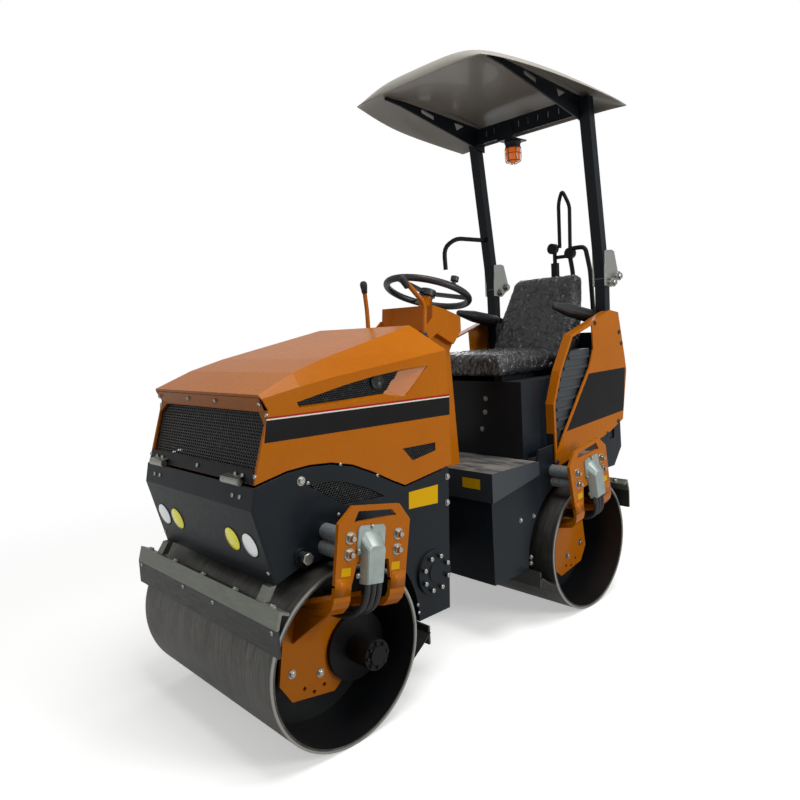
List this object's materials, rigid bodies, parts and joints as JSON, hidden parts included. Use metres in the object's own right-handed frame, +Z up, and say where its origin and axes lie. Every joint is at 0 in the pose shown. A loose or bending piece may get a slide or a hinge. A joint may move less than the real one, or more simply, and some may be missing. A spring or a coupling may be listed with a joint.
{
  "type": "mini tandem road roller",
  "caption": "Ride-on articulated tandem roller with two smooth steel drums on leaning carriers, tilting hood, seat, folding roll bar and roof.",
  "frame": {"origin": "on the ground below the middle of the machine's length and width", "axes": "+X forward, +Y to the rider's left, +Z up"},
  "size_m": [2.06, 1.006, 2.2999],
  "materials": {
    "frame_paint": "dark blue-grey textured paint on welded plate",
    "body_orange": "orange yellow gloss powder coat",
    "floor_paint": "dark grey paint, worn on the tread",
    "black_paint": "black satin paint",
    "mesh_black": "black painted expanded mesh",
    "lamp_glass": "round lamps with clear and yellow lenses",
    "engine_iron": "engine block in grey cast iron",
    "radiator_black": "black coated radiator core",
    "bright_steel": "machined steel",
    "drum_steel": "rolled drum shell, bare and worn outside",
    "hose_and_zinc": "zinc plated boxes with black rubber hoses",
    "seat_cover": "black vinyl cover under clear film",
    "tank_plastic": "dark blow-moulded plastic",
    "roof_shell": "pale grey moulded roof",
    "beacon_amber": "amber beacon lens and black base",
    "wheel_plastic": "black moulded steering wheel"
  },
  "bodies": {
    "front_frame": {"front_frame": "frame_paint", "front_panel": "frame_paint", "headlamps": "lamp_glass", "side_grilles": "mesh_black", "frame_covers": "frame_paint", "engine": "engine_iron", "radiator": "radiator_black", "yokes_front": "body_orange", "bearings_front": "bright_steel", "motor_front": "black_paint", "hoses_front": "hose_and_zinc", "scrapers_front": "frame_paint", "pivot_pin": "bright_steel"},
    "front_drum": {"drum_front": "drum_steel"},
    "hood": {"hood": "body_orange", "hood_grille": "mesh_black", "hood_vents": "mesh_black"},
    "rear_frame": {"rear_frame": "frame_paint", "floor_plate": "floor_paint", "seat_box": "frame_paint", "seat_cushion": "seat_cover", "seat_back": "seat_cover", "armrests": "seat_cover", "side_guards": "body_orange", "water_tank": "tank_plastic", "rear_cover": "frame_paint", "console": "body_orange", "control_levers": "body_orange", "rops_lower": "frame_paint", "handrails": "black_paint", "yokes_rear": "body_orange", "bearings_rear": "bright_steel", "motor_rear": "black_paint", "hoses_rear": "hose_and_zinc", "scrapers_rear": "frame_paint"},
    "rear_drum": {"drum_rear": "drum_steel"},
    "roll_bar": {"rops_upper": "frame_paint", "grab_handle": "black_paint", "roof_arms": "frame_paint", "canopy": "roof_shell", "beacon": "beacon_amber"},
    "steering_wheel": {"steering_wheel": "wheel_plastic"},
    "cylinder_barrel": {"cylinder_barrel": "black_paint"},
    "cylinder_rod": {"cylinder_rod": "bright_steel"}
  },
  "joints": [
    {"name": "articulation", "type": "hinge", "parent": "front_frame", "child": "rear_frame", "pos_m": [0.08, 0, 0.459], "axis": [0, 0, 1], "range_deg": [-30, 30]},
    {"name": "front_drum_roll", "type": "hinge", "parent": "front_frame", "child": "front_drum", "pos_m": [0.75, 0, 0.28], "axis": [0, 1, 0], "continuous": true},
    {"name": "rear_drum_roll", "type": "hinge", "parent": "rear_frame", "child": "rear_drum", "pos_m": [-0.59, 0, 0.28], "axis": [0, 1, 0], "continuous": true},
    {"name": "hood_lift", "type": "hinge", "parent": "front_frame", "child": "hood", "pos_m": [1.004, 0, 0.85], "axis": [0, 1, 0], "range_deg": [0, 60]},
    {"name": "roll_bar_fold", "type": "hinge", "parent": "rear_frame", "child": "roll_bar", "pos_m": [-0.972, 0, 1.437], "axis": [0, -1, 0], "range_deg": [0, 95]},
    {"name": "steering_wheel_turn", "type": "hinge", "parent": "rear_frame", "child": "steering_wheel", "pos_m": [-0.085, 0, 1.393], "axis": [-0.342, 0, 0.9397], "continuous": true},
    {"name": "cylinder_swing", "type": "hinge", "parent": "rear_frame", "child": "cylinder_barrel", "pos_m": [-0.22, -0.15, 0.445], "axis": [0, 0, 1], "range_deg": [-12, 12]},
    {"name": "cylinder_stroke", "type": "slide", "parent": "cylinder_barrel", "child": "cylinder_rod", "axis": [1, 0, 0], "range_m": [-0.08, 0.08]}
  ],
  "couplings": [
    {"joint": "cylinder_swing", "follows": "articulation", "ratio": -0.2147},
    {"joint": "cylinder_stroke", "follows": "articulation", "m_per_rad": -0.1468}
  ]
}
